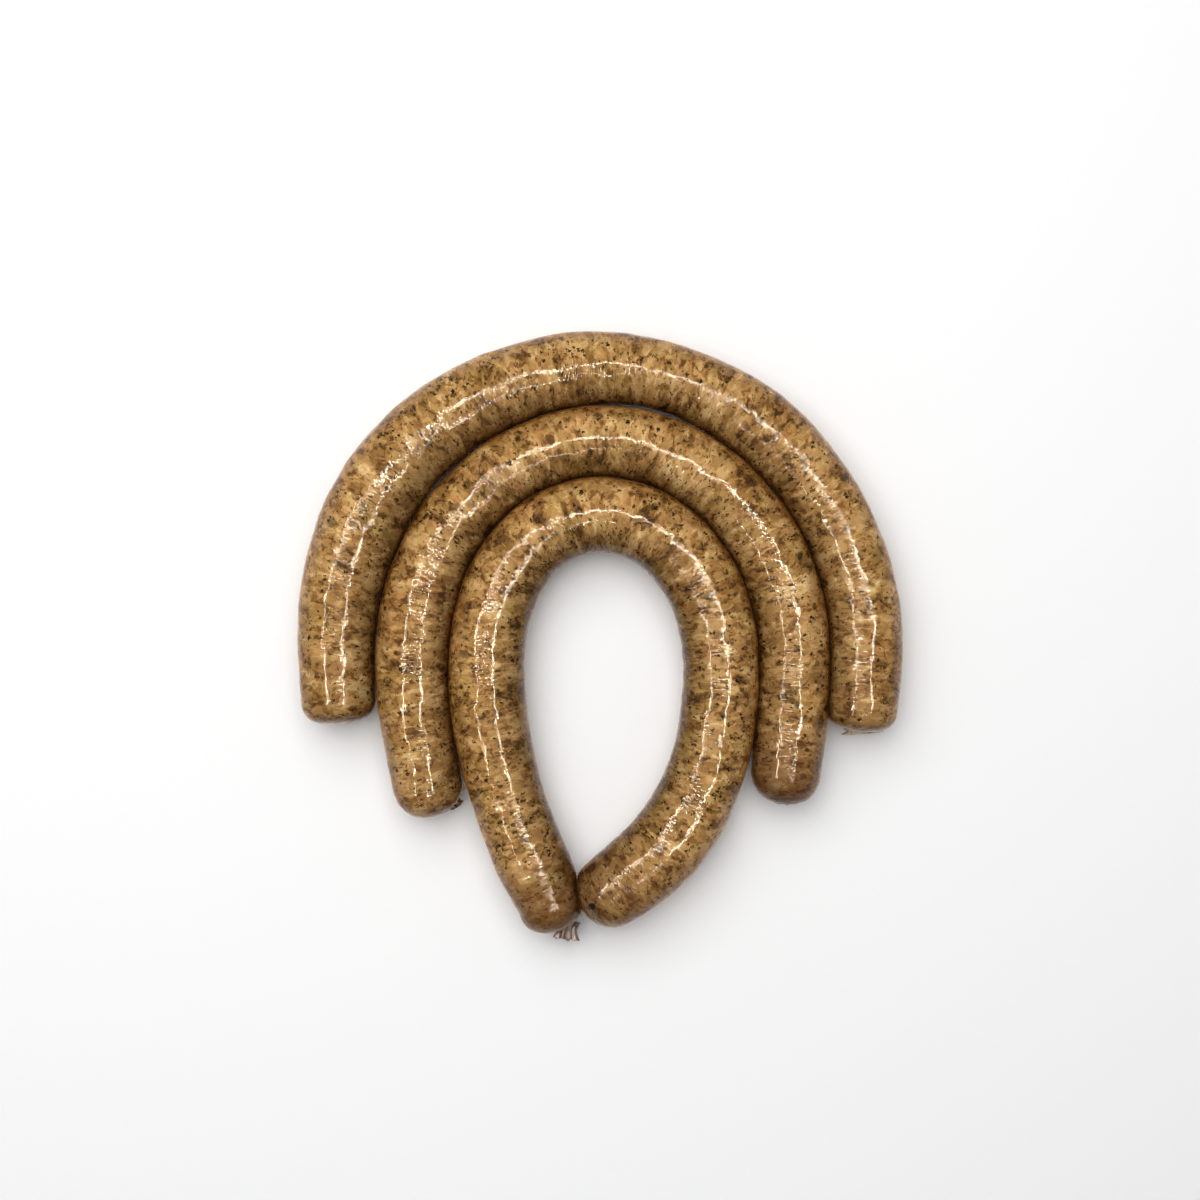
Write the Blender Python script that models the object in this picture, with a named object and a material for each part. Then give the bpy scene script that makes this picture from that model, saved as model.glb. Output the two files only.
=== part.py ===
"""Three long cooked sausage links, laid on a flat surface one inside the other.

Each link is meat in a natural casing: a thick soft tube that follows its own bent route, swells and
narrows along it, lies flat where it rests, is pressed flat where it touches its neighbour, and is
gathered at both ends into a pleated tail of cut casing. Units are metres, +Z is up, and the links
rest on the plane z = 0.
"""

import math

import bmesh
import bpy
import numpy as np

# How a soft link lies. The share of its radius at which its centre rides over the surface.
RIDE_SHARE = 0.9
# Free space between two links that touch.
TOUCH_GAP = 0.00035
# Two stretches of one link can touch only where the route between them is longer than this.
SELF_TOUCH_ROUTE = 0.060
# Times that a point is drawn back, halfway each time, to the flat face between two links.
PRESS_STEPS = 8

# Fineness of the solids.
SIDES = 24
BODY_STEP = 0.0066
DOME_RINGS = 6
CENTRE_STEP = 0.001

# The pleated tail: shares of its length at which it has a ring, and the radius there as a share
# of the spread of its cut edge. It leaves the link as a tight neck and opens to the cut edge.
TAIL_PROFILE = ((0.30, 0.50), (0.65, 0.74), (1.0, 1.0))
NECK_RADIUS = 0.0020
PLEAT_DEPTH = 0.26

# Shallow hollows between the coarse pieces of filling: depth, and waves along and around the link.
HOLLOW_DEPTH = 0.0005
HOLLOW_WAVES = ((0.031, 2, 0.4), (0.019, 3, 1.9), (0.012, 1, 3.1))

# Routes, from the left end to the right end, seen from above: x, y and the width of the link there.
OUTER_ROUTE = (
    (-0.0907, -0.0299, 0.0258),
    (-0.0922, 0.0024, 0.0274),
    (-0.0825, 0.0416, 0.0302),
    (-0.0585, 0.0732, 0.0288),
    (-0.0226, 0.0913, 0.0270),
    (-0.0028, 0.0948, 0.0260),
    (0.0169, 0.0934, 0.0246),
    (0.0360, 0.0870, 0.0246),
    (0.0533, 0.0768, 0.0259),
    (0.0798, 0.0466, 0.0258),
    (0.0925, 0.0088, 0.0262),
    (0.0922, -0.0191, 0.0260),
    (0.0907, -0.0330, 0.0248),
)
MIDDLE_ROUTE = (
    (-0.0583, -0.0624, 0.0236),
    (-0.0639, -0.0313, 0.0256),
    (-0.0655, -0.0075, 0.0266),
    (-0.0598, 0.0246, 0.0264),
    (-0.0454, 0.0479, 0.0254),
    (-0.0228, 0.0640, 0.0252),
    (0.0043, 0.0690, 0.0256),
    (0.0304, 0.0613, 0.0256),
    (0.0514, 0.0430, 0.0258),
    (0.0643, 0.0181, 0.0260),
    (0.0682, -0.0096, 0.0258),
    (0.0666, -0.0337, 0.0254),
    (0.0642, -0.0596, 0.0246),
)
INNER_ROUTE = (
    (-0.0133, -0.1023, 0.0222),
    (-0.0181, -0.0903, 0.0244),
    (-0.0225, -0.0806, 0.0260),
    (-0.0302, -0.0617, 0.0258),
    (-0.0384, -0.0285, 0.0272),
    (-0.0357, 0.0146, 0.0268),
    (-0.0186, 0.0377, 0.0268),
    (0.0022, 0.0435, 0.0268),
    (0.0260, 0.0326, 0.0270),
    (0.0404, 0.0069, 0.0270),
    (0.0419, -0.0236, 0.0270),
    (0.0351, -0.0522, 0.0274),
    (0.0198, -0.0756, 0.0282),
    (0.0098, -0.0842, 0.0272),
    (0.0013, -0.0909, 0.0256),
    (-0.0040, -0.0988, 0.0236),
)


class End:
    """One end of a link: a dome, and at its pole the casing that was gathered and cut as a tail.

    The pole and the tail each point to one side of the way that the end points, seen from above,
    with left positive, and each droops under the level. All four are in degrees.
    """

    def __init__(self, length, bluntness, pole, tail, tail_length, tail_spread):
        self.length = length
        self.bluntness = bluntness
        self.pole = [math.radians(angle) for angle in pole]
        self.tail = [math.radians(angle) for angle in tail]
        self.tail_length = tail_length
        self.tail_spread = tail_spread


# Most tails are tucked under the dome. Two show: a nub at the left end of the middle link, and the
# pleated fan at the left end of the inner one.
OUTER_ENDS = (
    End(0.0100, 2.8, (0, 36), (0, 82), 0.0028, 0.0021),
    End(0.0099, 3.0, (12, 34), (20, 78), 0.0028, 0.0022),
)
MIDDLE_ENDS = (
    End(0.0120, 2.4, (40, 22), (22, 40), 0.0020, 0.0018),
    End(0.0125, 2.1, (0, 36), (0, 80), 0.0028, 0.0023),
)
INNER_ENDS = (
    End(0.0108, 2.3, (14, 10), (-40, 14), 0.0046, 0.0044),
    End(0.0125, 2.1, (0, 36), (0, 80), 0.0028, 0.0023),
)

# Colours of the links, one a little browner than the next.
OUTER_COLOUR = (0.29, 0.16, 0.06, 1.0)
MIDDLE_COLOUR = (0.31, 0.17, 0.06, 1.0)
INNER_COLOUR = (0.33, 0.19, 0.065, 1.0)
CASING_ROUGHNESS = 0.22


def clear_scene():
    for obj in list(bpy.data.objects):
        bpy.data.objects.remove(obj)


def through(knots, values, wanted):
    """Values at the wanted distances, on a natural cubic spline through the values at the knots."""
    span = np.diff(knots)
    slope = np.diff(values) / span
    count = len(knots)
    system = np.eye(count)
    right = np.zeros(count)
    for i in range(1, count - 1):
        system[i, i - 1 : i + 2] = span[i - 1], 2 * (span[i - 1] + span[i]), span[i]
        right[i] = 6 * (slope[i] - slope[i - 1])
    bend = np.linalg.solve(system, right)
    i = np.clip(np.searchsorted(knots, wanted) - 1, 0, count - 2)
    near, far = wanted - knots[i], knots[i + 1] - wanted
    cubic = (bend[i] * far**3 + bend[i + 1] * near**3) / (6 * span[i])
    start = (values[i] / span[i] - bend[i] * span[i] / 6) * far
    end = (values[i + 1] / span[i] - bend[i + 1] * span[i] / 6) * near
    return cubic + start + end


class Link:
    """The smooth centreline of one link, with its radius at every millimetre."""

    def __init__(self, name, route, ends, colour):
        self.name, self.ends, self.colour = name, ends, colour
        route = np.array(route)
        knots = np.concatenate([[0.0], np.cumsum(np.hypot(*np.diff(route[:, :2], axis=0).T))])
        rough = np.arange(0.0, knots[-1], CENTRE_STEP / 4)
        line = np.column_stack([through(knots, column, rough) for column in route.T])
        self.along = np.concatenate([[0.0], np.cumsum(np.hypot(*np.diff(line[:, :2], axis=0).T))])
        self.line = line
        self.length = self.along[-1]
        self.body = (ends[0].length, self.length - ends[1].length)
        shown = np.arange(self.body[0], self.body[1] + CENTRE_STEP / 2, CENTRE_STEP)
        self.samples = shown
        self.centres, self.radii = self.at(shown)

    def at(self, distance):
        """Centre points and radii at distances along the route."""
        x, y, width = (np.interp(distance, self.along, column) for column in self.line.T)
        return np.column_stack([x, y, RIDE_SHARE * width / 2]), width / 2

    def heading(self, distance):
        """Unit vectors along the route, level with the surface."""
        ahead, _ = self.at(distance + CENTRE_STEP)
        behind, _ = self.at(distance - CENTRE_STEP)
        way = (ahead - behind) * (1, 1, 0)
        return way / np.linalg.norm(way, axis=1)[:, None]


def hollows(distance, angle):
    """How far the surface lies inside the round section there, from 0 to HOLLOW_DEPTH."""
    height = sum(
        np.cos(2 * math.pi * distance / wave + around * angle + start)
        for wave, around, start in HOLLOW_WAVES
    )
    return HOLLOW_DEPTH * (0.5 - 0.5 * height / len(HOLLOW_WAVES))


def turned(vectors, axis, angle):
    """Vectors turned by an angle about a unit axis."""
    return (
        vectors * math.cos(angle)
        + np.cross(axis, vectors) * math.sin(angle)
        + axis * (vectors @ axis)[:, None] * (1 - math.cos(angle))
    )


def ring_angles():
    return 2 * math.pi * np.arange(SIDES) / SIDES


def body_rings(link):
    """Rings of points down the body, and how far along the route each one stands."""
    count = round((link.body[1] - link.body[0]) / BODY_STEP)
    angles = ring_angles()
    distances = np.linspace(*link.body, count)
    centres, radii = link.at(distances)
    ways = link.heading(distances)
    rings = []
    for distance, centre, radius, way in zip(distances, centres, radii, ways):
        side = np.array([-way[1], way[0], 0.0])
        reach = (radius - hollows(distance, angles))[:, None]
        points = centre + reach * (
            np.cos(angles)[:, None] * side + np.sin(angles)[:, None] * np.array([0.0, 0.0, 1.0])
        )
        rings.append(points)
    return rings, distances


def aimed(way, turn, droop):
    """The way of an end, turned to its left by one angle and drooped by another."""
    left = np.array([-way[1], way[0], 0.0])
    level = way * math.cos(turn) + left * math.sin(turn)
    return level * math.cos(droop) - np.array([0.0, 0.0, math.sin(droop)])


def tilted(vectors, start, finish, share=1.0):
    """Vectors moved by a share of the turn that brings one unit vector round to another."""
    axis = np.cross(start, finish)
    axis /= np.linalg.norm(axis)
    return turned(vectors, axis, share * math.acos(float(start @ finish)))


def end_rings(link, which):
    """Rings over the dome and down the tail, from the body outwards."""
    end = link.ends[which]
    distance = link.body[which]
    centre, radius = (value[0] for value in link.at(np.array([distance])))
    forward = link.heading(np.array([distance]))[0]
    way = forward if which else -forward
    side = np.array([-forward[1], forward[0], 0.0])
    angles = ring_angles()
    up = np.array([0.0, 0.0, 1.0])
    spokes = np.cos(angles)[:, None] * side + np.sin(angles)[:, None] * up
    pole = aimed(way, *end.pole)
    smallest = math.asin(NECK_RADIUS / radius)
    dip = hollows(distance, angles)[:, None]
    rings = []
    for step in range(1, DOME_RINGS + 1):
        latitude = math.pi / 2 + (smallest - math.pi / 2) * step / DOME_RINGS
        share = 1 - latitude / (math.pi / 2)
        ring = math.cos(latitude) * way + math.sin(latitude) * spokes
        unit = tilted(ring, way, pole, share)
        ahead = unit @ way
        across = unit - ahead[:, None] * way
        wide = np.linalg.norm(across, axis=1)
        swell = (np.abs(ahead) ** end.bluntness + wide**end.bluntness) ** (-1 / end.bluntness)
        shape = ahead[:, None] * end.length * way + (radius - dip * math.sin(latitude)) * across
        rings.append(centre + swell[:, None] * shape)
    neck = rings[-1].mean(axis=0)
    tail_way = aimed(way, *end.tail)
    fold = tilted(tilted(spokes, way, pole), pole, tail_way)
    pleats = 1 - PLEAT_DEPTH * (np.arange(SIDES) % 2)
    for share, spread in TAIL_PROFILE:
        depth = pleats if share > TAIL_PROFILE[0][0] else np.ones(SIDES)
        reach = spread * end.tail_spread * depth
        rings.append(neck + tail_way * share * end.tail_length + reach[:, None] * fold)
    return rings


def overlap_depth(points, centres, radii):
    """Distance from each point to the nearest of the balls along a route, and the way out of it."""
    offset = points[:, None] - centres[None]
    far = np.linalg.norm(offset, axis=2)
    gap = far - radii[None]
    nearest = gap.argmin(axis=1)
    row = np.arange(len(points))
    return gap[row, nearest], offset[row, nearest] / far[row, nearest][:, None]


def pressed(points, centre, radius, others):
    """Points of a ring held back to the plane midway between the link and each one it touches."""
    points = points.copy()
    for centres, radii in others:
        if not len(centres):
            continue
        for _ in range(PRESS_STEPS):
            free, _ = overlap_depth(points, centres, radii)
            offset = points - centre
            far = np.linalg.norm(offset, axis=1)
            short = TOUCH_GAP - (free - (far - radius))
            back = np.where(short > 0, short / 2, 0.0)
            points -= offset / far[:, None] * back[:, None]
    return points


def pushed_clear(points, others):
    """Points of a tail moved out of the other links."""
    points = points.copy()
    for centres, radii in others:
        if len(centres):
            free, out = overlap_depth(points, centres, radii)
            points += out * np.maximum(TOUCH_GAP - free, 0.0)[:, None]
    return points


def touching(link, links, distance):
    """Centres and radii of what can press on the link at this distance, itself included."""
    found = [(other.centres, other.radii) for other in links if other is not link]
    far = np.abs(link.samples - distance) > SELF_TOUCH_ROUTE
    found.append((link.centres[far], link.radii[far]))
    return found


def on_the_surface(points):
    """Points with none of them under the plane that the links rest on."""
    flat = points.copy()
    flat[:, 2] = np.maximum(flat[:, 2], 0.0)
    return flat


def link_rings(link, links):
    """All the rings of a link, from the cut edge of one tail to that of the other."""
    rings, distances = body_rings(link)
    centres, radii = link.at(distances)
    body = [
        pressed(ring, centre, radius, touching(link, links, distance))
        for ring, distance, centre, radius in zip(rings, distances, centres, radii)
    ]
    capped = []
    for which in (0, 1):
        distance = link.body[which]
        others = touching(link, links, distance)
        centre, radius = (value[0] for value in link.at(np.array([distance])))
        outward = end_rings(link, which)
        dome = [pressed(ring, centre, radius, others) for ring in outward[:DOME_RINGS]]
        tail = [pushed_clear(ring, others) for ring in outward[DOME_RINGS:]]
        capped.append(dome + tail)
    return [on_the_surface(ring) for ring in capped[0][::-1] + body + capped[1]]


def loft(name, rings):
    """A closed mesh through the rings, with a fan over each end."""
    shell = bmesh.new()
    loops = [[shell.verts.new(point) for point in ring] for ring in rings]
    for near, far in zip(loops, loops[1:]):
        for i in range(SIDES):
            j = (i + 1) % SIDES
            shell.faces.new((near[i], near[j], far[j], far[i]))
    for loop, ring in ((loops[0], rings[0]), (loops[-1], rings[-1])):
        middle = shell.verts.new(ring.mean(axis=0))
        for i in range(SIDES):
            shell.faces.new((loop[i], loop[(i + 1) % SIDES], middle))
    bmesh.ops.recalc_face_normals(shell, faces=shell.faces)
    mesh = bpy.data.meshes.new(name)
    shell.to_mesh(mesh)
    shell.free()
    mesh.shade_smooth()
    mesh.set_sharp_from_angle(angle=math.radians(50))
    return mesh


def casing_material(name, colour):
    material = bpy.data.materials.new(name)
    material.use_nodes = True
    shader = material.node_tree.nodes["Principled BSDF"]
    shader.inputs["Base Color"].default_value = colour
    shader.inputs["Roughness"].default_value = CASING_ROUGHNESS
    shader.inputs["Metallic"].default_value = 0.0
    return material


def add_link(link, links, collection):
    mesh = loft(link.name, link_rings(link, links))
    mesh.materials.append(casing_material(link.name, link.colour))
    obj = bpy.data.objects.new(link.name, mesh)
    collection.objects.link(obj)
    return obj


def main():
    clear_scene()
    collection = bpy.data.collections.new("sausage_links")
    bpy.context.scene.collection.children.link(collection)
    links = [
        Link("outer_link", OUTER_ROUTE, OUTER_ENDS, OUTER_COLOUR),
        Link("middle_link", MIDDLE_ROUTE, MIDDLE_ENDS, MIDDLE_COLOUR),
        Link("inner_link", INNER_ROUTE, INNER_ENDS, INNER_COLOUR),
    ]
    for link in links:
        add_link(link, links, collection)


main()
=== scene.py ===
# %% [markdown]
# # Three long sausage links, nested on a plate's width
# This lesson dresses a small frame of three plain solids as cooked sausage: coarse herbed meat that shows
# through a wet, wrinkled natural casing. Everything is in metres, +Z is up and the links rest on z = 0.
# The frame gives each link its place, so a link made here along the same route lands exactly on its solid.

# %% Load the frame
import math

import bpy
import numpy as np
from mathutils import Matrix, Vector


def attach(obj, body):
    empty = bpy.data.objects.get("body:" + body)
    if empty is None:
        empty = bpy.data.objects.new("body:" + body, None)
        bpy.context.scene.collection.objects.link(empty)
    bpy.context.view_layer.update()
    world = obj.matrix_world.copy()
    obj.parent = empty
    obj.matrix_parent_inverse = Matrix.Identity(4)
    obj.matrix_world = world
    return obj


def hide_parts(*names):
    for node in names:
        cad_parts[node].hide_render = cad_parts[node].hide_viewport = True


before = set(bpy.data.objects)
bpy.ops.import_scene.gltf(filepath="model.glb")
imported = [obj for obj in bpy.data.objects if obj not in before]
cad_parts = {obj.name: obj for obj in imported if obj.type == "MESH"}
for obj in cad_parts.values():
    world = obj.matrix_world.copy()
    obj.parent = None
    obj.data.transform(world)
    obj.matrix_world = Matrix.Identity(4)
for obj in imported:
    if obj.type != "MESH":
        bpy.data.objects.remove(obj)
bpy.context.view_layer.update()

# %% [markdown]
# ## Routes
# A long link takes the bend that its neighbour leaves it. Each route is a short list of points, from the
# left end to the right end seen from above: x, y and the width of the link there. A smooth curve through
# them gives the swelling and narrowing of a hand filled casing.

# %% Routes of the three links
ROUTES = {
    "outer_link": (
        (-0.0907, -0.0299, 0.0258), (-0.0922, 0.0024, 0.0274), (-0.0825, 0.0416, 0.0302),
        (-0.0585, 0.0732, 0.0288), (-0.0226, 0.0913, 0.0270), (-0.0028, 0.0948, 0.0260),
        (0.0169, 0.0934, 0.0246), (0.0360, 0.0870, 0.0246), (0.0533, 0.0768, 0.0259),
        (0.0798, 0.0466, 0.0258), (0.0925, 0.0088, 0.0262), (0.0922, -0.0191, 0.0260),
        (0.0907, -0.0330, 0.0248),
    ),
    "middle_link": (
        (-0.0583, -0.0624, 0.0236), (-0.0639, -0.0313, 0.0256), (-0.0655, -0.0075, 0.0266),
        (-0.0598, 0.0246, 0.0264), (-0.0454, 0.0479, 0.0254), (-0.0228, 0.0640, 0.0252),
        (0.0043, 0.0690, 0.0256), (0.0304, 0.0613, 0.0256), (0.0514, 0.0430, 0.0258),
        (0.0643, 0.0181, 0.0260), (0.0682, -0.0096, 0.0258), (0.0666, -0.0337, 0.0254),
        (0.0642, -0.0596, 0.0246),
    ),
    "inner_link": (
        (-0.0133, -0.1023, 0.0222), (-0.0181, -0.0903, 0.0244), (-0.0225, -0.0806, 0.0260),
        (-0.0302, -0.0617, 0.0258), (-0.0384, -0.0285, 0.0272), (-0.0357, 0.0146, 0.0268),
        (-0.0186, 0.0377, 0.0268), (0.0022, 0.0435, 0.0268), (0.0260, 0.0326, 0.0270),
        (0.0404, 0.0069, 0.0270), (0.0419, -0.0236, 0.0270), (0.0351, -0.0522, 0.0274),
        (0.0198, -0.0756, 0.0282), (0.0098, -0.0842, 0.0272), (0.0013, -0.0909, 0.0256),
        (-0.0040, -0.0988, 0.0236),
    ),
}
# The share of its radius at which a link's centre rides over the surface, because a soft link sags.
RIDE_SHARE = 0.9
CENTRE_STEP = 0.001
print({name: len(route) for name, route in ROUTES.items()}, "points chosen by hand")

# %% [markdown]
# ## A smooth centreline
# A natural cubic spline bends like a springy strip held at its points, which is how a filled casing bends.
# It is solved here with a small linear system, for x, y and width alike, and then walked in even steps.


# %% Spline through a route
def through(knots, values, wanted):
    """Values at the wanted distances, on a natural cubic spline through the values at the knots."""
    span = np.diff(knots)
    slope = np.diff(values) / span
    count = len(knots)
    system = np.eye(count)
    right = np.zeros(count)
    for i in range(1, count - 1):
        system[i, i - 1 : i + 2] = span[i - 1], 2 * (span[i - 1] + span[i]), span[i]
        right[i] = 6 * (slope[i] - slope[i - 1])
    bend = np.linalg.solve(system, right)
    i = np.clip(np.searchsorted(knots, wanted) - 1, 0, count - 2)
    near, far = wanted - knots[i], knots[i + 1] - wanted
    cubic = (bend[i] * far**3 + bend[i + 1] * near**3) / (6 * span[i])
    start = (values[i] / span[i] - bend[i] * span[i] / 6) * far
    end = (values[i + 1] / span[i] - bend[i + 1] * span[i] / 6) * near
    return cubic + start + end


def centreline(route):
    """Centre points a millimetre apart, and the radius at each."""
    route = np.array(route)
    knots = np.concatenate([[0.0], np.cumsum(np.hypot(*np.diff(route[:, :2], axis=0).T))])
    x, y, width = (through(knots, column, np.arange(0.0, knots[-1], CENTRE_STEP)) for column in route.T)
    return np.column_stack([x, y, RIDE_SHARE * width / 2]), width / 2


lines = {name: centreline(route) for name, route in ROUTES.items()}
print({name: f"{len(radii)} mm long" for name, (centres, radii) in lines.items()})

# %% [markdown]
# ## A bench for node trees
# Geometry and shader trees share most of their nodes. One small helper adds a node, sets its fields and
# joins whatever is given to its sockets, so a tree below reads as sums and not as wiring.


# %% Bench
# Vertices nearer than this are welded, which closes a grid that was bent round until its edges meet.
WELD = 1e-6


class Bench:
    """Adds nodes to one tree. An input is a socket to link or a value to set."""

    def __init__(self, tree):
        self.tree = tree

    def add(self, kind, inputs=None, **settings):
        node = self.tree.nodes.new(kind)
        for name, value in settings.items():
            setattr(node, name, value)
        for key, value in (inputs or {}).items():
            if isinstance(value, bpy.types.NodeSocket):
                self.tree.links.new(value, node.inputs[key])
            else:
                node.inputs[key].default_value = value
        return node

    def math(self, operation, *values, clamp=False):
        node = self.add("ShaderNodeMath", dict(enumerate(values)), operation=operation, use_clamp=clamp)
        return node.outputs[0]

    def vector(self, operation, *values):
        node = self.add("ShaderNodeVectorMath", operation=operation)
        for place, value in enumerate(values):
            place = 3 if operation == "SCALE" and place == 1 else place
            if isinstance(value, bpy.types.NodeSocket):
                self.tree.links.new(value, node.inputs[place])
            else:
                node.inputs[place].default_value = value
        return node.outputs[1 if operation in ("DOT_PRODUCT", "LENGTH") else 0]

    def xyz(self, x=0.0, y=0.0, z=0.0):
        return self.add("ShaderNodeCombineXYZ", {0: x, 1: y, 2: z}).outputs[0]

    def parts(self, vector):
        return self.add("ShaderNodeSeparateXYZ", {0: vector}).outputs

    def ramp(self, value, low, high, to_low=0.0, to_high=1.0, kind="SMOOTHSTEP"):
        inputs = {0: value, 1: low, 2: high, 3: to_low, 4: to_high}
        return self.add("ShaderNodeMapRange", inputs, interpolation_type=kind).outputs[0]

    def noise(self, vector, scale, detail=2.0, roughness=0.5, distortion=0.0, output=0):
        inputs = {"Vector": vector, "Scale": scale, "Detail": detail, "Roughness": roughness}
        return self.add("ShaderNodeTexNoise", {**inputs, "Distortion": distortion}).outputs[output]

    def blend(self, share, low, high):
        return self.add("ShaderNodeMix", {0: share, 2: low, 3: high}, data_type="FLOAT").outputs[0]

    def tint(self, share, low, high, kind="MIX"):
        inputs = {0: share, 6: low, 7: high}
        return self.add("ShaderNodeMix", inputs, data_type="RGBA", blend_type=kind).outputs[2]

    def shade(self, share, colour, factor):
        """A colour that is multiplied by a factor, in a share of it."""
        return self.tint(share, colour, self.tint(1.0, colour, factor, "MULTIPLY"))


def new_shape_tree(name, sockets):
    """A geometry tree with a geometry input and output, its named inputs, and a bench for it."""
    tree = bpy.data.node_groups.new(name, "GeometryNodeTree")
    tree.interface.new_socket("Geometry", in_out="INPUT", socket_type="NodeSocketGeometry")
    tree.interface.new_socket("Geometry", in_out="OUTPUT", socket_type="NodeSocketGeometry")
    for label, kind in sockets.items():
        tree.interface.new_socket(label, in_out="INPUT", socket_type="NodeSocket" + kind)
    bench = Bench(tree)
    return tree, bench, bench.add("NodeGroupInput").outputs


def finish_tree(bench, geometry, material):
    """Realizes what is left as instances, sets the material and ends the tree."""
    real = bench.add("GeometryNodeRealizeInstances", {0: geometry}).outputs[0]
    dressed = bench.add("GeometryNodeSetMaterial", {"Geometry": real, "Material": material}).outputs[0]
    bench.add("NodeGroupOutput", {0: dressed})


def finish_bent_grid(bench, grid, kept, position, material):
    """Bends a grid to its shape, with the values that its points keep, welds it and ends the tree."""
    mesh = grid.outputs["Mesh"]
    layers = [("OFBake", "FLOAT2", "CORNER", grid.outputs["UV Map"])]
    layers += [(label, kind, "POINT", value) for label, (kind, value) in kept.items()]
    for label, kind, domain, value in layers:
        mesh = bench.add("GeometryNodeStoreNamedAttribute", {
            "Geometry": mesh, "Name": label, "Value": value,
        }, data_type=kind, domain=domain).outputs[0]
    bent = bench.add("GeometryNodeSetPosition", {"Geometry": mesh, "Position": position}).outputs[0]
    closed = bench.add("GeometryNodeMergeByDistance", {"Geometry": bent, "Distance": WELD}).outputs[0]
    smooth = bench.add("GeometryNodeSetShadeSmooth", {"Geometry": closed}).outputs[0]
    finish_tree(bench, smooth, material)


def grown(name, start, tree, values):
    """The plain mesh that a tree makes from a starting mesh, with its inputs set by identifier."""
    carrier = bpy.data.objects.new(name + "_carrier", start)
    bpy.context.scene.collection.objects.link(carrier)
    modifier = carrier.modifiers.new("Shape", "NODES")
    modifier.node_group = tree
    places = {item.name: item.identifier for item in tree.interface.items_tree if item.in_out == "INPUT"}
    for label, value in values.items():
        modifier[places[label]] = value
    evaluated = carrier.evaluated_get(bpy.context.evaluated_depsgraph_get())
    mesh = bpy.data.meshes.new_from_object(evaluated)
    mesh.name = name
    bpy.data.objects.remove(carrier)
    return mesh


print("bench ready")

# %% [markdown]
# ## The link as a rule
# A link is a tube round its centreline, closed at each end by a dome whose pole is where the casing was
# gathered. It could be modelled by hand, but it follows a rule, so Geometry Nodes wrap a flat grid round
# the line: one side of the grid counts rings along the link and the other is the angle round it. The
# domes are blunt superellipses, tilted step by step towards a pole that droops to the plate. Radial
# pleats deepen towards the pole, as the casing gathers there.

# %% Tree that wraps a grid round a centreline
UP = (0.0, 0.0, 1.0)
LINK_SOCKETS = {
    "Centreline": "Object", "Material": "Material", "Length": "Float", "Rings": "Int", "Dome rings": "Int",
    "Sides": "Int", "Dome lengths": "Vector", "Bluntness": "Vector", "Turns": "Vector", "Droops": "Vector",
    "Pleats": "Float", "Pleat depth": "Float",
}


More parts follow.
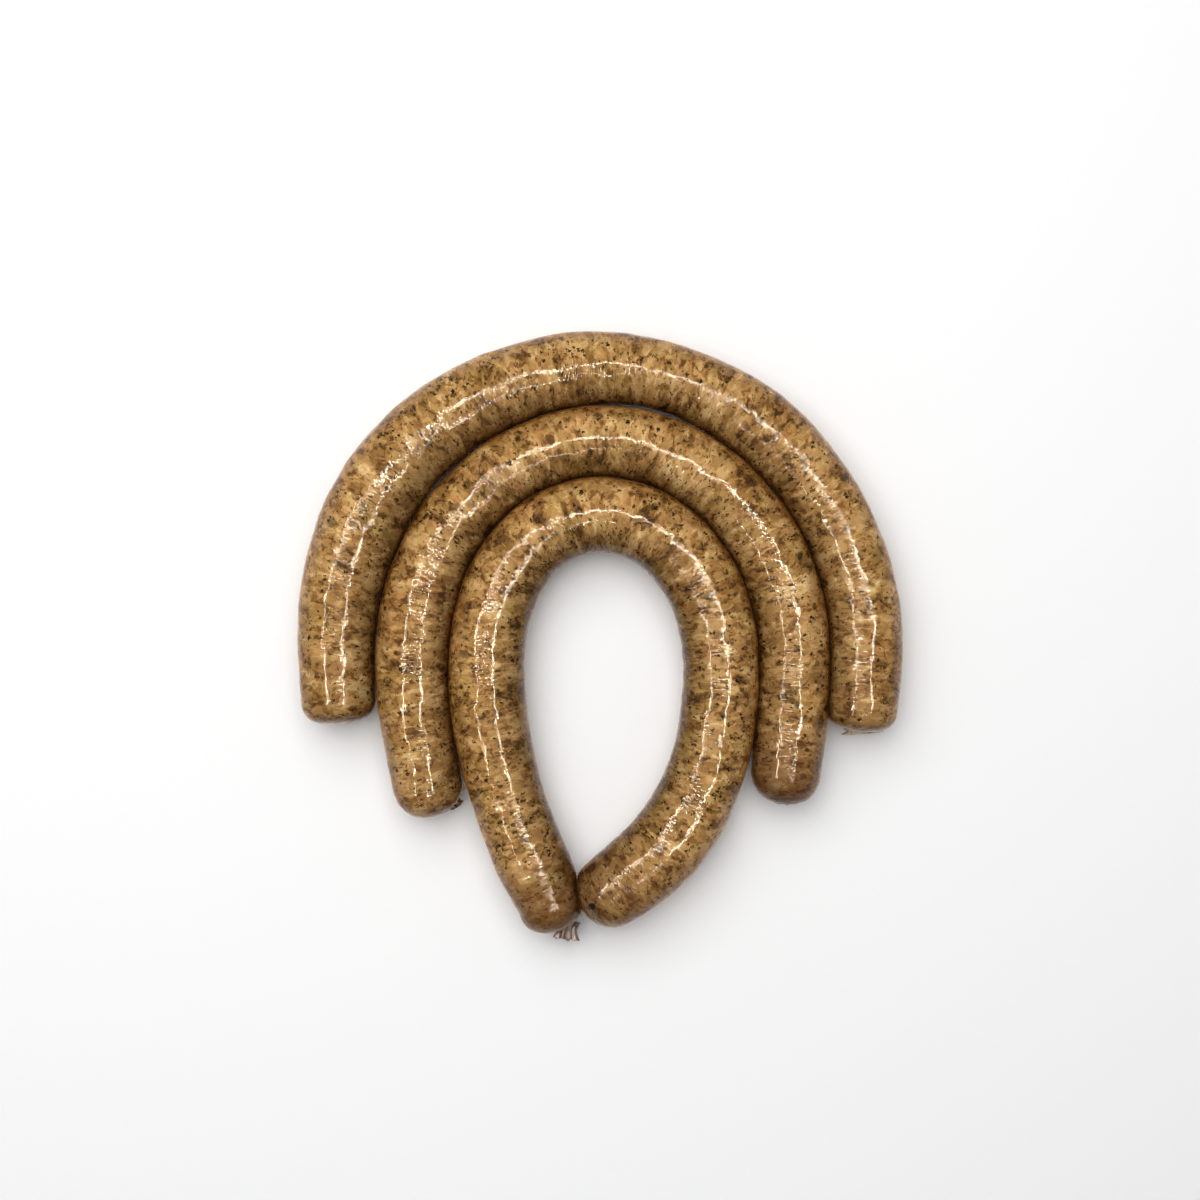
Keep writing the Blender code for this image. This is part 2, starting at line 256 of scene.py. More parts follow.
def link_tree():
    tree, b, given = new_shape_tree("Wrap a link round its centreline", LINK_SOCKETS)
    rings, sides, dome_rings = given["Rings"], given["Sides"], given["Dome rings"]
    grid = b.add("GeometryNodeMeshGrid", {
        "Size X": rings, "Size Y": math.tau, "Vertices X": b.math("ADD", rings, 1.0),
        "Vertices Y": b.math("ADD", sides, 1.0),
    })
    place = b.parts(b.add("GeometryNodeInputPosition").outputs[0])
    ring, angle = b.math("ADD", place[0], b.math("DIVIDE", rings, 2.0)), place[1]
    right_end = b.math("GREATER_THAN", place[0], 0.0)
    sign = b.math("SUBTRACT", b.math("MULTIPLY", right_end, 2.0), 1.0)

    def of_this_end(pair):
        """The left end's value is a pair's x, and the right end's is its y."""
        left, right, _ = b.parts(pair)
        return b.blend(right_end, left, right)

    # How far up its dome each ring is, and where on the route its centre stands.
    from_end = b.math("MINIMUM", ring, b.math("SUBTRACT", rings, ring))
    climb = b.math("SUBTRACT", 1.0, b.math("DIVIDE", from_end, dome_rings), clamp=True)
    dome = of_this_end(given["Dome lengths"])
    body_share = b.ramp(ring, dome_rings, b.math("SUBTRACT", rings, dome_rings), kind="LINEAR")
    left_dome, right_dome, _ = b.parts(given["Dome lengths"])
    along = b.blend(body_share, left_dome, b.math("SUBTRACT", given["Length"], right_dome))
    route = b.add("GeometryNodeObjectInfo", {"Object": given["Centreline"]}).outputs["Geometry"]
    radius_here = b.add("GeometryNodeInputRadius").outputs[0]
    sample = b.add("GeometryNodeSampleCurve", {
        "Curves": route, "Value": radius_here, "Length": along,
    }, mode="LENGTH", data_type="FLOAT")
    centre, radius = sample.outputs["Position"], sample.outputs["Value"]

    # The level way along the route, the way out of this end, and the way to its pole.
    tangent = b.parts(sample.outputs["Tangent"])
    forward = b.vector("NORMALIZE", b.xyz(tangent[0], tangent[1]))
    side = b.vector("CROSS_PRODUCT", UP, forward)
    way = b.vector("SCALE", forward, sign)
    left = b.vector("SCALE", side, sign)
    turn, droop = of_this_end(given["Turns"]), of_this_end(given["Droops"])
    level = b.vector("ADD", b.vector("SCALE", way, b.math("COSINE", turn)),
                     b.vector("SCALE", left, b.math("SINE", turn)))
    pole = b.vector("ADD", b.vector("SCALE", level, b.math("COSINE", droop)),
                    b.xyz(z=b.math("MULTIPLY", b.math("SINE", droop), -1.0)))

    # A unit vector from the centre to the vertex: round the ring, then climbing to the tilted pole.
    spoke = b.vector("ADD", b.vector("SCALE", side, b.math("SINE", angle)),
                     b.xyz(z=b.math("COSINE", angle)))
    latitude = b.math("MULTIPLY", b.math("SUBTRACT", 1.0, climb), math.pi / 2)
    upright = b.vector("ADD", b.vector("SCALE", way, b.math("COSINE", latitude)),
                       b.vector("SCALE", spoke, b.math("SINE", latitude)))
    tilt = b.math("MULTIPLY", b.math("ARCCOSINE", b.vector("DOT_PRODUCT", way, pole)), climb)
    unit = b.add("ShaderNodeVectorRotate", {
        "Vector": upright, "Axis": b.vector("CROSS_PRODUCT", way, pole), "Angle": tilt,
    }, rotation_type="AXIS_ANGLE").outputs[0]

    # The blunt dome: a superellipse over the unit vector's ahead and across parts.
    ahead = b.vector("DOT_PRODUCT", unit, way)
    across = b.vector("SUBTRACT", unit, b.vector("SCALE", way, ahead))
    power = of_this_end(given["Bluntness"])
    reach = b.math("ADD", b.math("POWER", b.math("ABSOLUTE", ahead), power),
                   b.math("POWER", b.vector("LENGTH", across), power))
    swell = b.math("POWER", reach, b.math("DIVIDE", -1.0, power))
    shape = b.vector("ADD", b.vector("SCALE", way, b.math("MULTIPLY", ahead, dome)),
                     b.vector("SCALE", across, radius))

    # Gathered pleats that run to the pole and deepen on the way.
    wobble = b.noise(b.vector("SCALE", spoke, 1.3), 1.0)
    phase = b.math("ADD", b.math("MULTIPLY", angle, given["Pleats"]), b.math("MULTIPLY", wobble, 9.0))
    fold = b.math("MULTIPLY_ADD", b.math("COSINE", phase), 0.5, -0.5)
    near_pole = b.math("MULTIPLY", b.ramp(climb, 0.45, 0.86), b.ramp(climb, 1.0, 0.9))
    pleat = b.math("MULTIPLY", b.math("MULTIPLY", fold, near_pole), given["Pleat depth"])
    out = b.vector("ADD", b.vector("SCALE", shape, swell), b.vector("SCALE", unit, pleat))

    # The link as if it were straight: a place for patterns that follow it, with no seam and no pole.
    straight = b.xyz(b.math("ADD", along, b.vector("DOT_PRODUCT", out, forward)),
                     b.vector("DOT_PRODUCT", out, side), b.vector("DOT_PRODUCT", out, UP))
    kept = {
        "core": ("FLOAT_VECTOR", centre), "core_radius": ("FLOAT", radius),
        "straight": ("FLOAT_VECTOR", straight),
    }
    finish_bent_grid(b, grid, kept, b.vector("ADD", centre, out), given["Material"])
    return tree


wrap = link_tree()
print("link tree", len(wrap.nodes), "nodes")

# %% [markdown]
# ## Ends
# Each end has its own dome: how far it reaches past the last full ring, how blunt it is, how far its pole
# turns to the left of the way that it points, and how far the pole droops to the plate. Pairs are left
# end, right end.

# %% Ends of the links
ENDS = {
    "outer_link": {
        "Dome lengths": (0.0100, 0.0099), "Bluntness": (2.8, 3.0), "Turns": (0, 12), "Droops": (36, 34),
    },
    "middle_link": {
        "Dome lengths": (0.0120, 0.0125), "Bluntness": (2.4, 2.1), "Turns": (40, 0), "Droops": (22, 36),
    },
    "inner_link": {
        "Dome lengths": (0.0108, 0.0125), "Bluntness": (2.3, 2.1), "Turns": (14, 0), "Droops": (10, 36),
    },
}
RING_STEP = 0.00066
SIDES = 132
DOME_RINGS = 30
PLEATS = 13.0
PLEAT_DEPTH = 0.0007


def centre_curve(name):
    """The centreline as a curve object whose radius is the link's."""
    centres, radii = lines[name]
    curve = bpy.data.curves.new(name + "_centreline", "CURVE")
    curve.dimensions = "3D"
    spline = curve.splines.new("POLY")
    spline.points.add(len(centres) - 1)
    spline.points.foreach_set("co", np.column_stack([centres, np.ones(len(centres))]).ravel())
    spline.points.foreach_set("radius", radii)
    obj = bpy.data.objects.new(curve.name, curve)
    bpy.context.scene.collection.objects.link(obj)
    return obj


def length_of(name):
    """How long a link's centreline is."""
    return float(np.linalg.norm(np.diff(lines[name][0], axis=0), axis=1).sum())


def wrapped_link(name, material):
    length = length_of(name)
    ends = ENDS[name]
    line = centre_curve(name)
    values = {
        "Centreline": line, "Material": material, "Length": length, "Sides": SIDES,
        "Rings": round(length / RING_STEP), "Dome rings": DOME_RINGS, "Pleats": PLEATS,
        "Pleat depth": PLEAT_DEPTH,
        "Dome lengths": (*ends["Dome lengths"], 0.0), "Bluntness": (*ends["Bluntness"], 2.0),
        "Turns": (*(math.radians(angle) for angle in ends["Turns"]), 0.0),
        "Droops": (*(math.radians(angle) for angle in ends["Droops"]), 0.0),
    }
    mesh = grown(name, bpy.data.meshes.new(name + "_start"), wrap, values)
    bpy.data.objects.remove(line)
    return mesh


# %% [markdown]
# ## Pressing
# Two soft links that touch share one flat face, midway between their skins, and each is pressed flat on
# the plate. A solver could find that, but the answer is simple enough to write: a vertex that is nearer
# the neighbour's skin than its own is drawn back towards its own centre until it is midway.

# %% Press the links on each other and on the plate
# Skins that touch stay this far apart, and the painted shade of a seam reaches this far out of it.
TOUCH_GAP = 0.00008
SEAM_REACH = 0.0032
# Skin that had to move this far is pressed flat, with no relief left.
PRESSED_FULL = 0.0006
PRESS_STEPS = 5
# A link can touch itself only this many steps of its centreline past its middle.
SELF_TOUCH_STEPS = 60
# Vertices this near a rival are the ones to press, found with every eighth ball of its route.
NEAR_RIVAL = 0.012
SPARSE = 8
# How many vertices are measured at once, which keeps the tables of distances small.
CHUNK = 6000


def read(mesh, name, width):
    """An attribute of a mesh as an array."""
    layer = mesh.attributes[name]
    values = np.empty(len(layer.data) * width, np.float32)
    layer.data.foreach_get("vector" if width == 3 else "value", values)
    return values.reshape(-1, width).astype(float) if width > 1 else values.astype(float)


def free_space(points, centres, radii):
    """Distance from each point to the nearest skin of the balls along a route."""
    free = np.empty(len(points))
    for low in range(0, len(points), CHUNK):
        part = points[low : low + CHUNK]
        far = np.sqrt(((part[:, None] - centres[None]) ** 2).sum(2))
        free[low : low + CHUNK] = (far - radii[None]).min(1)
    return free


def body_of(name):
    """Centres and radii of a link without its domes."""
    left, right = (round(length / CENTRE_STEP) for length in ENDS[name]["Dome lengths"])
    centres, radii = lines[name]
    return centres[left:-right], radii[left:-right]


def press(mesh, name):
    """Presses a link's mesh. Returns how far each vertex moved, and how deep in a seam it lies, 0 to 1."""
    spots = np.empty(len(mesh.vertices) * 3, np.float32)
    mesh.vertices.foreach_get("co", spots)
    points = spots.reshape(-1, 3).astype(float)
    start = points.copy()
    core, radius = read(mesh, "core", 3), read(mesh, "core_radius", 1)
    along = read(mesh, "straight", 3)[:, 0] / CENTRE_STEP
    rivals = [(np.full(len(points), True), *body_of(other)) for other in lines if other != name]
    centres, radii = body_of(name)
    middle = len(radii) // 2
    # Each half of a link has the far part of its other half as a rival too.
    ahead, behind = slice(middle + SELF_TOUCH_STEPS, None), slice(0, middle - SELF_TOUCH_STEPS)
    rivals.append((along < middle, centres[ahead], radii[ahead]))
    rivals.append((along > middle, centres[behind], radii[behind]))
    depth = np.zeros(len(points))
    for mine, others, sizes in rivals:
        near = np.where(mine)[0]
        near = near[free_space(points[near], others[::SPARSE], sizes[::SPARSE]) < NEAR_RIVAL]
        for step in range(PRESS_STEPS):
            offset = points[near] - core[near]
            far = np.linalg.norm(offset, axis=1)
            short = TOUCH_GAP - (free_space(points[near], others, sizes) - (far - radius[near]))
            if step == 0:
                depth[near] = np.maximum(depth[near], 1.0 + short / SEAM_REACH)
            back = np.where(short > 0, short / 2, 0.0)
            points[near] -= offset / far[:, None] * back[:, None]
    points[:, 2] = np.maximum(points[:, 2], 0.0)
    mesh.vertices.foreach_set("co", points.astype(np.float32).ravel())
    return np.linalg.norm(points - start, axis=1) / PRESSED_FULL, depth


# %% [markdown]
# ## Relief of the casing
# The meat is coarse, so the skin over it is uneven: broad hollows where a soft piece sank, small bumps of
# gristle, and fine creases across the link where the casing dried and shrank lengthwise. All of it rides
# on the surface, so it is a tree that moves the finished skin along its own normals. It fades out where
# a link is pressed.

# %% Relief tree
RELIEF_SOCKETS = {
    "Material": "Material", "Seed": "Float", "Lump depth": "Float", "Grain depth": "Float",
    "Crease depth": "Float",
}
RELIEF = {"Lump depth": 0.0011, "Grain depth": 0.00030, "Crease depth": 0.00022}


def relief_tree():
    tree, b, given = new_shape_tree("Uneven skin", RELIEF_SOCKETS)
    straight, pressed = (
        b.add("GeometryNodeInputNamedAttribute", {"Name": name}, data_type=kind).outputs[0]
        for name, kind in (("straight", "FLOAT_VECTOR"), ("pressed", "FLOAT"))
    )
    here = b.vector("ADD", straight, b.xyz(given["Seed"]))
    lumps = b.math("SUBTRACT", b.noise(here, 75.0, 1.0), 0.62)
    grain = b.math("SUBTRACT", b.noise(here, 260.0, 2.0, 0.6), 0.5)
    # Creases are short along the link and long round it, and come in patches.
    stretched = b.vector("MULTIPLY", here, (1.0, 0.38, 0.38))
    creases = b.math("SUBTRACT", b.noise(stretched, 760.0, 1.0, 0.6, 0.3), 0.5)
    patches = b.ramp(b.noise(here, 45.0, 1.0), 0.40, 0.62)
    height = b.math("ADD", b.math("MULTIPLY", lumps, given["Lump depth"]),
                    b.math("MULTIPLY", grain, given["Grain depth"]))
    patched = b.math("MULTIPLY", b.math("MULTIPLY", creases, patches), given["Crease depth"])
    height = b.math("ADD", height, patched)
    height = b.math("MULTIPLY", height, b.math("SUBTRACT", 1.0, pressed, clamp=True))
    normal = b.add("GeometryNodeInputNormal").outputs[0]
    moved = b.add("GeometryNodeSetPosition", {
        "Geometry": given["Geometry"], "Offset": b.vector("SCALE", normal, height),
    }).outputs[0]
    place = b.parts(b.add("GeometryNodeInputPosition").outputs[0])
    rested = b.add("GeometryNodeSetPosition", {
        "Geometry": moved, "Position": b.xyz(place[0], place[1], b.math("MAXIMUM", place[2], 0.0)),
    }).outputs[0]
    finish_tree(b, rested, given["Material"])
    return tree


uneven = relief_tree()
print("relief tree", len(uneven.nodes), "nodes")

# %% [markdown]
# ## What shows through the casing
# Cut across, such a link is pork in coarse pieces: tan meat, browner meat, paler fat and chopped herbs.
# Through the casing these read as soft edged patches, drawn out round the link because the filling turned
# as it was pressed in. Nearly all of that is one warm hue, lighter and darker, so the pattern is a single
# tone from dark to pale that is built up from clouds and cells and then coloured by a ramp. All of it is
# read from the straightened link, so it follows every bend. Herbs are small cells of a Voronoi pattern,
# most of them left empty.


# %% Meat and casing material
def srgb(red, green, blue):
    """A colour as seen, 0 to 255, as the linear colour that a shader takes."""
    shares = (red / 255, green / 255, blue / 255)
    return (*(((c + 0.055) / 1.055) ** 2.4 if c > 0.04 else c / 12.92 for c in shares), 1.0)


MEAT_TONES = (
    (0.00, srgb(66, 43, 22)), (0.22, srgb(106, 72, 36)), (0.42, srgb(150, 108, 58)),
    (0.62, srgb(181, 138, 82)), (0.82, srgb(205, 165, 107)), (1.00, srgb(230, 194, 138)),
)
# Pieces of meat and fat: how far they are drawn out round the link, how many there are to a metre, where
# their edge begins and ends in the noise, and how much they change the tone.
PIECES = (
    (0.60, 110.0, 0.50, 0.54, -0.08), (0.60, 200.0, 0.54, 0.57, -0.17), (0.65, 420.0, 0.56, 0.59, -0.24),
    (0.45, 175.0, 0.53, 0.57, 0.11), (0.35, 400.0, 0.56, 0.60, 0.18),
)
# Herbs: how many cells there are to a metre, the share of them that holds no leaf, and the size of the
# smallest and the largest leaf in a cell.
LEAVES = ((430.0, 0.90, 0.14, 0.30), (760.0, 0.80, 0.24, 0.48), (1200.0, 0.91, 0.28, 0.5))
GREENER = (0.80, 0.86, 0.62, 1.0)
REDDER = (1.0, 0.84, 0.78, 1.0)
OLIVE = srgb(88, 78, 42)
HERB = srgb(22, 18, 6)
HERB_SOFT = srgb(92, 70, 34)
LEAF_TONE = srgb(20, 21, 24)
BROWNED = srgb(92, 52, 26)
# The browned glaze on the casing tints what it reflects.
GLAZE_TINT = (1.0, 0.86, 0.66, 1.0)
# Painted shade: how much darker and browner the skin is painted in and beside a seam.
PAINTED_SEAM_SHADE = (0.50, 0.42, 0.34, 1.0)
# Painted shade: seen at a slant the skin is painted darker, down to a rest, and warmer, and its very edge
# has a painted glow.
SLANT_SHADE_LOSS = 0.90
SLANT_SHADE_REST = 0.60
SLANT_SHADE_TINT = (1.0, 0.86, 0.62, 1.0)
PAINTED_EDGE_GLOW = srgb(214, 156, 98)
PAINTED_GLOW_SHARE = 0.45
# Painted shade: how much paler a link is painted on the outside of its bend, and darker on the inside, one
# typical radius from its centre.
BEND_SHADE = 0.30
TYPICAL_RADIUS = 0.013
CREASE_HEIGHT = 0.00028
BEAD_HEIGHT = 0.00003


def meat_material(name, seed, depth_of_tone, browning, leaf_place):
    material = bpy.data.materials.new(name)
    material.use_nodes = True
    b = Bench(material.node_tree)
    shader = material.node_tree.nodes["Principled BSDF"]
    straight = b.add("ShaderNodeAttribute", attribute_name="straight").outputs["Vector"]
    here = b.vector("ADD", straight, (seed, 0.0, 0.0))
    wander = b.vector("SUBTRACT", b.noise(here, 420.0, 3.0, 0.6, output=1), (0.5, 0.5, 0.5))
    turned = b.vector("MULTIPLY", here, (1.0, 0.55, 0.55))

    def led_astray(place, distance):
        """A place that wanders by up to a distance, so that shapes drawn there have ragged edges."""
        return b.vector("ADD", place, b.vector("SCALE", wander, distance))

    warped = led_astray(turned, 0.0034)

    # The tone of the meat: clouds, crumbs, and pieces with a clear edge.
    clouds = b.ramp(b.noise(turned, 130.0, 4.0, 0.62, 0.5), 0.32, 0.68, -1.0, 1.0)
    tone = b.math("MULTIPLY_ADD", clouds, 0.10, depth_of_tone)
    for scale, depth in ((210.0, 0.11), (560.0, 0.07)):
        cell = b.add("ShaderNodeTexVoronoi", {"Vector": warped, "Scale": scale})
        pick = b.math("SUBTRACT", b.parts(cell.outputs["Color"])[0], 0.5)
        tone = b.math("MULTIPLY_ADD", pick, depth * 2, tone)
    grain = b.math("SUBTRACT", b.noise(warped, 1500.0, 2.0, 0.6), 0.5)
    tone = b.math("MULTIPLY_ADD", grain, 0.07, tone)
    for place, (drawn, scale, low, high, change) in enumerate(PIECES):
        where = led_astray(b.vector("MULTIPLY", here, (1.0, drawn, drawn)), 0.0012)
        spots = b.noise(b.vector("ADD", where, (place + 1.3, 0.0, 0.0)), scale, 2.0, 0.5, 0.7)
        tone = b.math("MULTIPLY_ADD", b.ramp(spots, low, high), change, tone)
    meat = b.add("ShaderNodeValToRGB", {0: tone})
    stops = meat.color_ramp.elements
    while len(stops) < len(MEAT_TONES):
        stops.new(0.5)
    for stop, (place, tint) in zip(stops, MEAT_TONES):
        stop.position, stop.color = place, tint
    colour = meat.outputs[0]

    # A little greener in some places and a little redder in others.
    green = b.ramp(b.noise(b.vector("ADD", turned, (5.0, 0.0, 0.0)), 110.0, 2.0), 0.50, 0.70)
    colour = b.shade(b.math("MULTIPLY", green, 0.45), colour, GREENER)
    red = b.ramp(b.noise(b.vector("ADD", turned, (9.0, 0.0, 0.0)), 160.0, 2.0), 0.52, 0.70)
    colour = b.shade(b.math("MULTIPLY", red, 0.5), colour, REDDER)

    # Soft olive pieces, a few of them, under the skin.
    cell = b.add("ShaderNodeTexVoronoi", {"Vector": warped, "Scale": 250.0})
    size = b.ramp(b.parts(cell.outputs["Color"])[1], 0.90, 1.0, 0.0, 0.42, "LINEAR")
    olive = b.ramp(b.math("SUBTRACT", size, cell.outputs["Distance"]), 0.0, 0.10)
    colour = b.tint(b.math("MULTIPLY", olive, 0.65), colour, OLIVE)

    # Herbs: cells with a leaf in some of them, each leaf with its own size.
    ragged = b.vector("SUBTRACT", b.noise(here, 1050.0, 2.0, 0.6, output=1), (0.5, 0.5, 0.5))
    torn = b.vector("MULTIPLY", here, (1.0, 0.62, 0.62))
    torn = b.vector("ADD", torn, b.vector("SCALE", ragged, 0.0021))
    clumps = b.ramp(b.noise(here, 110.0, 2.0), 0.35, 0.60)
    flecks = 0.0
    for scale, share, low, high in LEAVES:
        cell = b.add("ShaderNodeTexVoronoi", {"Vector": torn, "Scale": scale})
        luck = b.math("ADD", b.parts(cell.outputs["Color"])[0], b.math("MULTIPLY_ADD", clumps, 0.16, -0.08))
        width = b.ramp(luck, share, 1.0, low, high, "LINEAR")
        there = b.math("GREATER_THAN", luck, share)
        leaf = b.ramp(b.math("SUBTRACT", width, cell.outputs["Distance"]), 0.0, 0.05)
        flecks = b.math("MAXIMUM", b.math("MULTIPLY", leaf, there), flecks)
    herb = b.tint(b.ramp(b.noise(here, 700.0), 0.40, 0.66), HERB, HERB_SOFT)
    slant = b.add("ShaderNodeLayerWeight", {"Blend": 0.5}).outputs["Facing"]
    colour = b.tint(b.math("MULTIPLY", flecks, b.ramp(slant, 0.50, 0.85, 0.97, 0.25)), colour, herb)
    # The ends are browner than the rest.
    along, aside, _ = b.parts(straight)
    left, right, length = browning
    done = b.math("ADD", b.ramp(along, 0.006, 0.034, left, 0.0),
                  b.ramp(along, length - 0.036, length - 0.008, 0.0, right))
    colour = b.tint(done, colour, b.tint(0.75, colour, BROWNED))
    if leaf_place:
        spot = b.add("ShaderNodeTexCoord").outputs["Object"]
        astray = b.vector("SUBTRACT", led_astray(spot, 0.0012), leaf_place)
        far = b.vector("LENGTH", b.vector("MULTIPLY", astray, (1.0, 1.0, 0.0)))
        colour = b.tint(b.ramp(far, 0.0010, 0.0014, 1.0, 0.0), colour, LEAF_TONE)
    # Painted shade: where the skin is seen at a slant it is painted darker and warmer, down to a rest.
    colour = b.shade(b.ramp(slant, 0.30, 0.70), colour, SLANT_SHADE_TINT)
    painted_shade = b.math("MAXIMUM", b.math("MULTIPLY_ADD", slant, -SLANT_SHADE_LOSS, 1.0), SLANT_SHADE_REST)
    # How much of the painted edge glow each place takes, towards the very edge.
    edge = b.ramp(slant, 0.66, 0.92, 0.0, PAINTED_GLOW_SHARE)
    # Faces that are pressed together are squeezed dry, so they are matt, and they are painted darker as
    # painted shade. The skin that leads down to them is painted browner and darker: painted shade in the
    # seam.
    pressed = b.add("ShaderNodeAttribute", attribute_name="pressed").outputs["Fac"]
    painted_shade = b.math("MULTIPLY", painted_shade, b.ramp(pressed, 0.2, 1.0, 1.0, 0.5))
    seam = b.ramp(b.add("ShaderNodeAttribute", attribute_name="seam").outputs["Fac"], 0.0, 1.0)
    colour = b.shade(seam, colour, PAINTED_SEAM_SHADE)
    # Painted shade: the inside of the bend is painted darker than the outside.
    bend = b.math("MULTIPLY_ADD", aside, BEND_SHADE / TYPICAL_RADIUS, 1.0)
    colour = b.vector("SCALE", colour, b.math("MULTIPLY", painted_shade, bend))
    # Painted light: a pale, warm glow is painted along the very edge.
    colour = b.tint(edge, colour, PAINTED_EDGE_GLOW)
    material.node_tree.links.new(colour, shader.inputs["Base Color"])

    rough = b.ramp(b.noise(here, 400.0, 2.0), 0.35, 0.65, 0.05, 0.10)
    rough = b.math("MULTIPLY_ADD", b.ramp(pressed, 0.3, 1.0), 0.3, rough)
    material.node_tree.links.new(rough, shader.inputs["Roughness"])
    shader.inputs["IOR"].default_value = 1.34
    shader.inputs["Specular Tint"].default_value = GLAZE_TINT
    shader.inputs["Subsurface Weight"].default_value = 0.10
    shader.inputs["Subsurface Radius"].default_value = (1.0, 0.5, 0.25)
    shader.inputs["Subsurface Scale"].default_value = 0.0015

    # The casing is nearly smooth, with crinkled stretches where it has dried into creases across the link.
    creased = b.vector("MULTIPLY", led_astray(here, 0.0010), (1.0, 0.20, 0.20))
    creases = b.noise(creased, 1150.0, 1.0, 0.5)
    crinkled = b.ramp(b.noise(here, 60.0, 2.0, 0.5), 0.42, 0.60, 0.30, 0.95)
    beads = b.noise(here, 900.0, 2.0, 0.6)
    height = b.math("MULTIPLY_ADD", b.math("MULTIPLY", creases, crinkled), CREASE_HEIGHT,
                    b.math("MULTIPLY", beads, BEAD_HEIGHT))
    bump = b.add("ShaderNodeBump", {"Strength": 1.0, "Distance": 1.0, "Height": height})
    material.node_tree.links.new(bump.outputs[0], shader.inputs["Normal"])
    return material


# A shift of the pattern, how pale the meat is, and how brown the left and the right end are.
LOOKS = {
    "outer_link": (0.0, 0.60, 0.20, 0.25), "middle_link": (1.7, 0.59, 0.25, 0.80),
    "inner_link": (3.9, 0.57, 0.90, 0.60),
}
# A large leaf shows at the right end of the inner link.
LARGE_LEAF = {"inner_link": (-0.0027, -0.0920, 0.0)}
materials = {
    name: meat_material(name + "_casing", shift, pale, (left, right, length_of(name)), LARGE_LEAF.get(name))
    for name, (shift, pale, left, right) in LOOKS.items()
}
print({name: len(material.node_tree.nodes) for name, material in materials.items()}, "nodes each")

# %% [markdown]
# ## Build the links
# Wrap, press, roughen, and hand each finished mesh to the frame in place of its plain solid.

# %% Links
# How far the relief's pattern is shifted from one link to the next.
SEED_STEP = 0.5


def build_link(name, seed):
    material = materials[name]
    mesh = wrapped_link(name, material)
    for label, share in zip(("pressed", "seam"), press(mesh, name)):
        layer = mesh.attributes.new(label, "FLOAT", "POINT")
        layer.data.foreach_set("value", np.clip(share, 0.0, 1.0).astype(np.float32))
    mesh = grown(name + "_skin", mesh, uneven, {**RELIEF, "Material": material, "Seed": seed})
    for spent in ("core", "core_radius"):
        mesh.attributes.remove(mesh.attributes[spent])
    piece = bpy.data.objects.new(name + "_skin", mesh)
    bpy.context.scene.collection.objects.link(piece)
    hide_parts(name)
    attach(piece, "root")
    size = np.ptp(np.array([v.co for v in mesh.vertices]), axis=0) * 1000
    print(piece.name, len(mesh.polygons), "faces", size.round(1), "mm")


for place, name in enumerate(ROUTES):
    build_link(name, SEED_STEP * place)

# %% [markdown]
# ## Gathered tails
# At each end the casing was twisted shut and cut, which leaves a short frill of stiff pleats. On most ends
# it is tucked under the dome, at one end it fans out beside it, and at two a lip of it shows. A frill is a
# cone with waves that deepen towards the cut edge, so it is a tree too: a grid goes out along the cone and
# back inside it, which gives the casing a thickness. It is grown pointing up +Z and then set on its dome.

# %% Tail tree
TAIL_SOCKETS = {
    "Material": "Material", "Length": "Float", "Neck": "Float", "Spread": "Float", "Flatness": "Float",
    "Pleats": "Float", "Pleat depth": "Float", "Thickness": "Float", "Seed": "Float",
}
TAIL_ROWS = 44
TAIL_SIDES = 120
# Where on the way out and back the cut edge is, how much of the way takes up the casing's thickness there,
# and how far down the inside the way goes.
OUTWARD_SHARE = 0.55
EDGE_TURN = 0.03
INSIDE_DEPTH = 0.8
# A frill is narrowest half way out, by this share.
WAIST = 0.22


